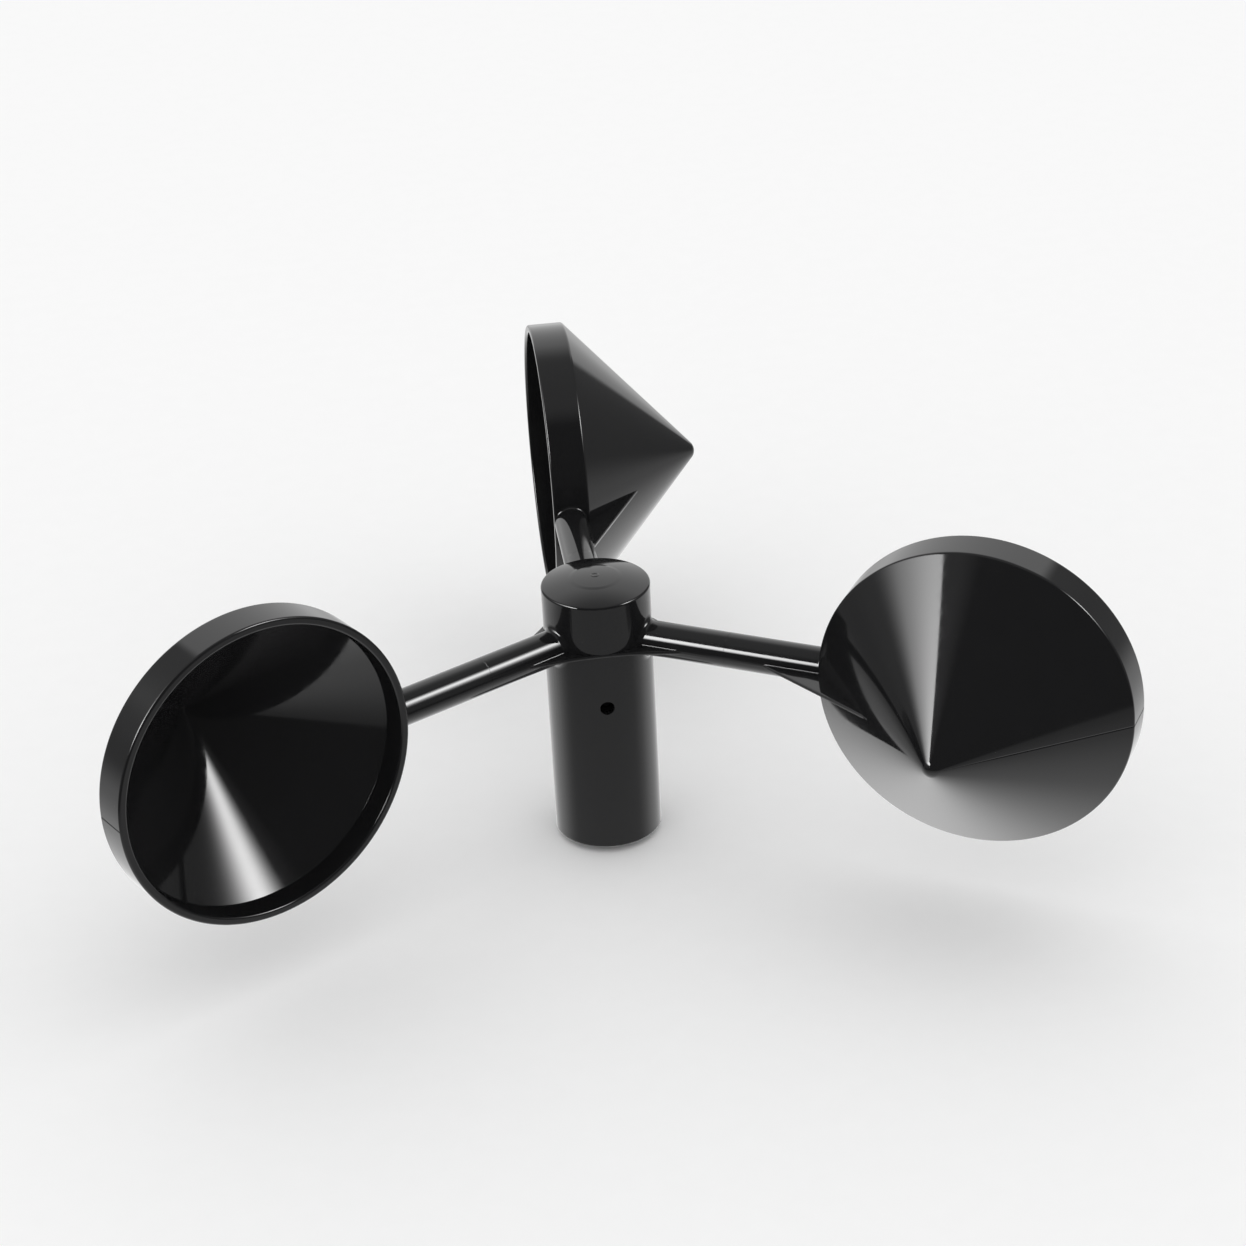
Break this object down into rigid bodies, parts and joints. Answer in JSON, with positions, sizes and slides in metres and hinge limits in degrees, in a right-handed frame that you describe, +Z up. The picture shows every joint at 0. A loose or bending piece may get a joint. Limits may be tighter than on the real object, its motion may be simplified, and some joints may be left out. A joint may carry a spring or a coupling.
{
  "type": "cup anemometer",
  "caption": "Wind speed rotor with conical cups on round arms, turning on a sealed ball-bearing spindle under a deep skirt, with a magnetic speed pickup inside.",
  "frame": {"origin": "on the spin axis, at the mouth of the fixing thread in the foot's bottom face", "axes": "+Z up along the spin axis, +Y along the first cup's arm; the grub screw's hole faces -Y"},
  "size_m": [0.1338, 0.1218, 0.0533],
  "materials": {
    "black_abs": "high gloss moulded",
    "black_steel": "black oxide",
    "brass": "turned",
    "steel": "ground",
    "aluminium": "turned and clear anodised",
    "acetal": "machined",
    "nylon": "moulded",
    "magnet": "nickel plated",
    "rubber": "moulded",
    "board": "solder mask",
    "glass": "clear",
    "tinned_wire": "tinned"
  },
  "bodies": {
    "stator": {"bearing_housing": "aluminium", "bearing_cap": "aluminium", "base_plug": "acetal", "plug_seal": "rubber", "plug_screws": "black_steel", "upper_bearing_outer_ring": "steel", "lower_bearing_outer_ring": "steel", "upper_bearing_shields": "steel", "lower_bearing_shields": "steel", "circuit_board": "board", "reed_switch": "glass", "reed_leads": "tinned_wire", "terminal_pins": "tinned_wire"},
    "rotor": {"hub": "black_abs", "cup_1": "black_abs", "cup_2": "black_abs", "cup_3": "black_abs", "grub_screw": "black_steel", "shaft_bush": "brass", "spindle": "steel", "shaft_collar": "brass", "bearing_spacer": "aluminium", "retaining_clip": "black_steel", "magnet_carrier": "acetal", "magnets": "magnet", "upper_bearing_inner_ring": "steel", "lower_bearing_inner_ring": "steel"},
    "upper_cage": {"upper_bearing_balls": "steel", "upper_bearing_cage": "nylon"},
    "lower_cage": {"lower_bearing_balls": "steel", "lower_bearing_cage": "nylon"}
  },
  "joints": [
    {"name": "rotor_spin", "type": "hinge", "parent": "stator", "child": "rotor", "pos_m": [0, 0, 0.0148], "axis": [0, 0, 1], "continuous": true},
    {"name": "upper_cage_spin", "type": "hinge", "parent": "stator", "child": "upper_cage", "pos_m": [0, 0, 0.0177], "axis": [0, 0, 1], "continuous": true},
    {"name": "lower_cage_spin", "type": "hinge", "parent": "stator", "child": "lower_cage", "pos_m": [0, 0, 0.0119], "axis": [0, 0, 1], "continuous": true}
  ],
  "couplings": [
    {"joint": "upper_cage_spin", "follows": "rotor_spin", "ratio": 0.3909},
    {"joint": "lower_cage_spin", "follows": "rotor_spin", "ratio": 0.3909}
  ]
}
